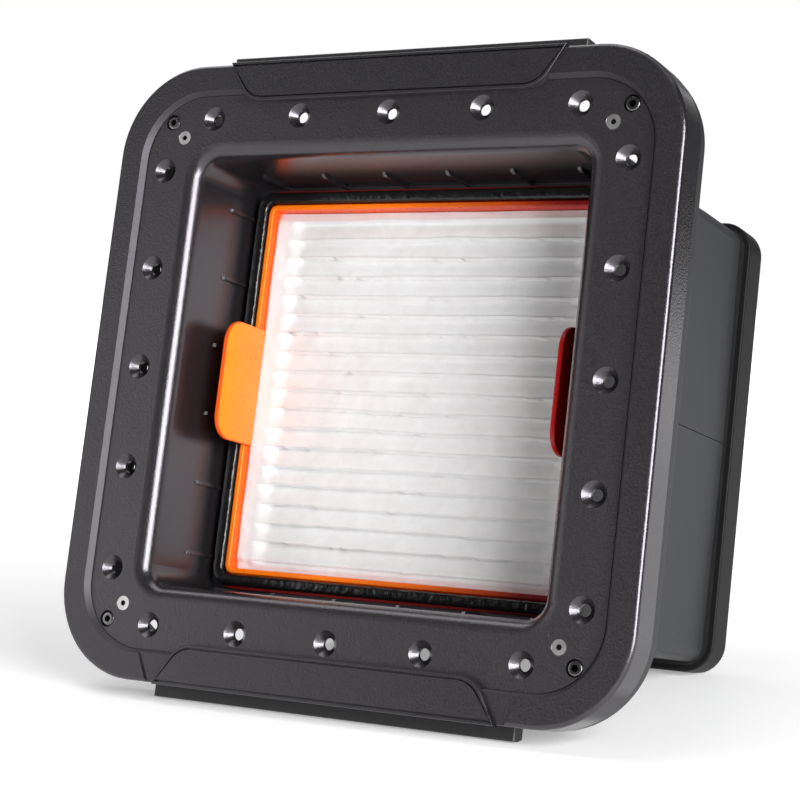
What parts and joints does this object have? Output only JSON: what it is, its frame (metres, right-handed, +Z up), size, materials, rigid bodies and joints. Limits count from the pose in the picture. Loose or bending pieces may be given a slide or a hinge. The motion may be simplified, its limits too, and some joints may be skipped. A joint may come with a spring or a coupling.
{
  "type": "solder fume extractor",
  "caption": "Square flanged fume extractor that leans back on a front strip, with a pull-out pleated filter in a deep recess and a rear fan.",
  "frame": {"origin": "on the floor under the middle of the object's width and depth, as it stands", "axes": "+Z up; +X to the right seen from the front; +Y from the front towards the back. The front panel leans back 12.75 degrees, so its outward normal is -Y tipped up"},
  "size_m": [0.245, 0.208, 0.2492],
  "materials": {
    "panel_plastic": "fine-grained moulded plastic",
    "frame_plastic": "fine-grained moulded plastic",
    "backing_plastic": "satin",
    "strip_rubber": "matte",
    "bright_steel": "bright",
    "dark_steel": "black oxide",
    "housing_plastic": "fine-grained moulded plastic",
    "carbon_frame_board": "plain",
    "carbon": "granular",
    "seal_rubber": "matte",
    "rear_plastic": "satin",
    "guard_chrome": "polished wire",
    "fan_plastic": "moulded",
    "bearing_steel": "ground",
    "copper": "enamelled wire",
    "board_green": "lacquered board",
    "control_plastic": "gloss",
    "contact_brass": "bright",
    "tray_orange": "translucent orange",
    "bead_rubber": "glossy, lightly textured",
    "media_white": "pleated non-woven",
    "magnet": "ferrite"
  },
  "bodies": {
    "case": {"front_panel": "panel_plastic", "outer_frame": "frame_plastic", "backing_ring": "backing_plastic", "top_cap": "frame_plastic", "bottom_cap": "frame_plastic", "top_strip": "strip_rubber", "bottom_strip": "strip_rubber", "panel_screws": "bright_steel", "frame_screws": "dark_steel", "housing_upper": "housing_plastic", "housing_lower": "housing_plastic", "carbon_frame": "carbon_frame_board", "carbon_block": "carbon", "rear_gasket": "seal_rubber", "rear_frame": "rear_plastic", "rear_cover": "rear_plastic", "rear_screws": "dark_steel", "finger_guard": "guard_chrome", "fan_screws": "bright_steel", "fan_frame": "fan_plastic", "front_bearing": "bearing_steel", "rear_bearing": "bearing_steel", "stator_core": "bearing_steel", "stator_windings": "copper", "motor_board": "board_green", "power_inlet": "control_plastic", "inlet_pins": "contact_brass", "inlet_screws": "dark_steel", "switch_body": "control_plastic", "switch_terminals": "contact_brass"},
    "filter_cartridge": {"filter_tray": "tray_orange", "filter_gasket": "bead_rubber", "filter_media": "media_white"},
    "rotor": {"fan_rotor": "fan_plastic", "rotor_yoke": "bearing_steel", "rotor_magnet": "magnet", "fan_shaft": "bearing_steel", "shaft_clip": "dark_steel"},
    "rocker": {"switch_rocker": "control_plastic"}
  },
  "joints": [
    {"name": "filter_slide", "type": "slide", "parent": "case", "child": "filter_cartridge", "axis": [0, -0.9753, 0.2207], "range_m": [0, 0.07]},
    {"name": "fan_spin", "type": "hinge", "parent": "case", "child": "rotor", "pos_m": [0, 0.05701, 0.11707], "axis": [0, -0.9753, 0.2207], "continuous": true},
    {"name": "rocker_tip", "type": "hinge", "parent": "case", "child": "rocker", "pos_m": [0.042, 0.05895, 0.0305], "axis": [1, 0, 0], "range_deg": [0, 18]}
  ]
}
